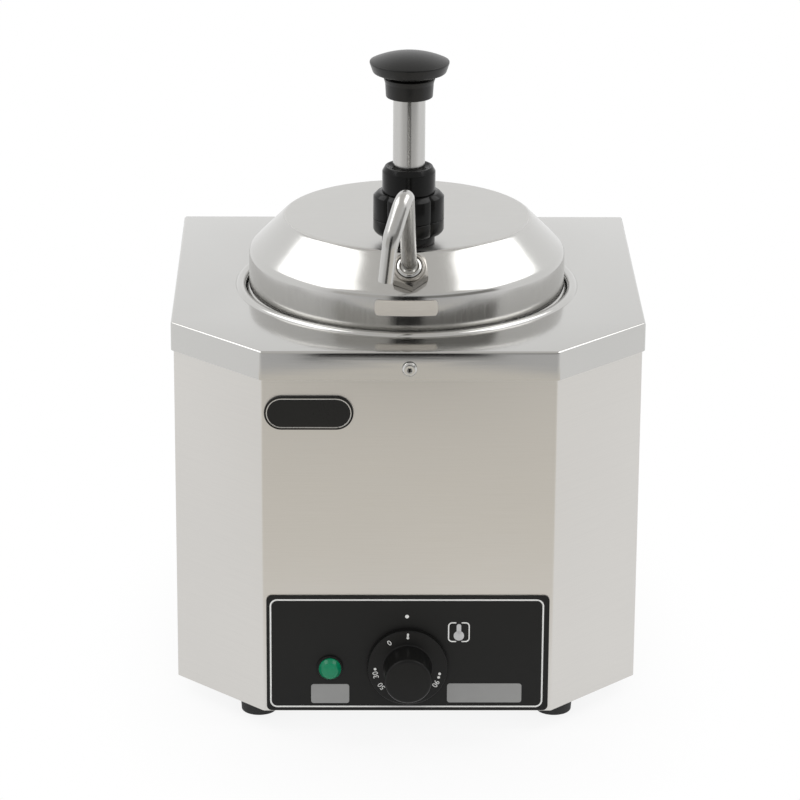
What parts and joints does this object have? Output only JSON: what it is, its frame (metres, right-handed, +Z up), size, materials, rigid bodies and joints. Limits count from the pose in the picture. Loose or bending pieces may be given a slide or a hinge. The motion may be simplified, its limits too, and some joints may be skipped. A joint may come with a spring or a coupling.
{
  "type": "topping warmer",
  "caption": "Countertop topping warmer: boxy steel body with cut front corners, round lift-out pot and stepped lid, hand pump with palm knob, hooked spout, thermostat dial and pilot lamp.",
  "frame": {"origin": "centre of the bounding box in plan, at the underside of the feet", "axes": "+Z up; the control panel and the spout face -Y; +X is to the right seen from the front"},
  "size_m": [0.27, 0.3063, 0.3826],
  "materials": {
    "brushed_steel": "satin brushed stainless steel",
    "polished_steel": "polished stainless steel",
    "plated_steel": "zinc plated steel",
    "black_plastic": "black moulded plastic, light gloss",
    "panel_black": "matt black printed panel",
    "black_rubber": "matt black rubber",
    "green_lens": "clear green plastic",
    "blank_plate": "bare satin plate",
    "aluminium": "cast aluminium",
    "copper": "bare copper",
    "white_ceramic": "off white moulding",
    "insulation": "glass fibre blanket",
    "white_seal": "white food grade plastic"
  },
  "bodies": {
    "body": {"top_cover": "brushed_steel", "body_wrapper": "brushed_steel", "rear_panel": "brushed_steel", "base_plate": "plated_steel", "foot_front_left": "black_rubber", "foot_front_right": "black_rubber", "foot_rear_left": "black_rubber", "foot_rear_right": "black_rubber", "foot_screw_front_left": "plated_steel", "foot_screw_front_right": "plated_steel", "foot_screw_rear_left": "plated_steel", "foot_screw_rear_right": "plated_steel", "cover_screw_front": "polished_steel", "cover_screw_rear": "polished_steel", "control_panel": "panel_black", "front_badge": "panel_black", "pilot_lamp_body": "black_plastic", "pilot_lamp_lens": "green_lens", "thermostat_body": "white_ceramic", "thermostat_screw_left": "plated_steel", "thermostat_screw_right": "plated_steel", "water_well": "brushed_steel", "heater_plate": "aluminium", "heater_clamp_bar": "plated_steel", "heater_clamp_nut": "plated_steel", "thermal_cutout": "white_ceramic", "insulation_jacket": "insulation", "thermostat_bulb": "copper", "mains_inlet": "black_plastic", "inlet_screw_left": "plated_steel", "inlet_screw_right": "plated_steel", "rear_panel_screw_left": "plated_steel", "rear_panel_screw_right": "plated_steel", "terminal_block": "white_ceramic", "inlet_wire": "black_rubber", "thermostat_wire": "black_rubber", "heater_wire": "black_rubber", "lamp_wire": "black_rubber"},
    "dial": {"dial_knob": "black_plastic", "thermostat_shaft": "plated_steel"},
    "pot": {"inner_pot": "brushed_steel"},
    "lid_and_pump": {"lid": "polished_steel", "lid_blank_plate": "blank_plate", "pump_base_ring": "black_plastic", "pump_lock_nut": "black_plastic", "pump_cylinder": "polished_steel", "pump_collar_cap": "black_plastic", "pump_foot": "white_seal", "discharge_tube": "polished_steel", "fitting_gasket": "black_rubber", "spout_nut": "polished_steel", "return_spring": "polished_steel"},
    "grip_nut": {"pump_grip_nut": "black_plastic"},
    "plunger": {"plunger_knob": "black_plastic", "plunger_tube": "polished_steel", "piston": "white_seal"},
    "spout": {"spout_tube": "polished_steel"},
    "inlet_ball": {"inlet_valve_ball": "polished_steel"},
    "outlet_ball": {"outlet_valve_ball": "polished_steel"}
  },
  "joints": [
    {"name": "dial_turn", "type": "hinge", "parent": "body", "child": "dial", "pos_m": [0, -0.10891, 0.041], "axis": [0, 1, 0], "range_deg": [0, 270]},
    {"name": "pot_lift", "type": "slide", "parent": "body", "child": "pot", "axis": [0, 0, 1], "range_m": [0, 0.155]},
    {"name": "lid_lift", "type": "slide", "parent": "pot", "child": "lid_and_pump", "axis": [0, 0, 1], "range_m": [0, 0.145]},
    {"name": "grip_nut_turn", "type": "hinge", "parent": "lid_and_pump", "child": "grip_nut", "pos_m": [0, -0.03691, 0.2774], "axis": [0, 0, 1], "range_deg": [0, 60]},
    {"name": "plunger_press", "type": "slide", "parent": "lid_and_pump", "child": "plunger", "axis": [0, 0, -1], "range_m": [0, 0.036], "stiffness_N_per_m": 300, "springref_m": -0.04, "deforming": ["return_spring"]},
    {"name": "spout_swivel", "type": "hinge", "parent": "lid_and_pump", "child": "spout", "pos_m": [0, -0.06466, 0.26175], "axis": [0, -0.7071, 0.7071], "range_deg": [-30, 30]},
    {"name": "inlet_ball_lift", "type": "slide", "parent": "lid_and_pump", "child": "inlet_ball", "axis": [0, 0, 1], "range_m": [0, 0.003]},
    {"name": "outlet_ball_lift", "type": "slide", "parent": "lid_and_pump", "child": "outlet_ball", "axis": [0, 0, 1], "range_m": [0, 0.0028]}
  ]
}
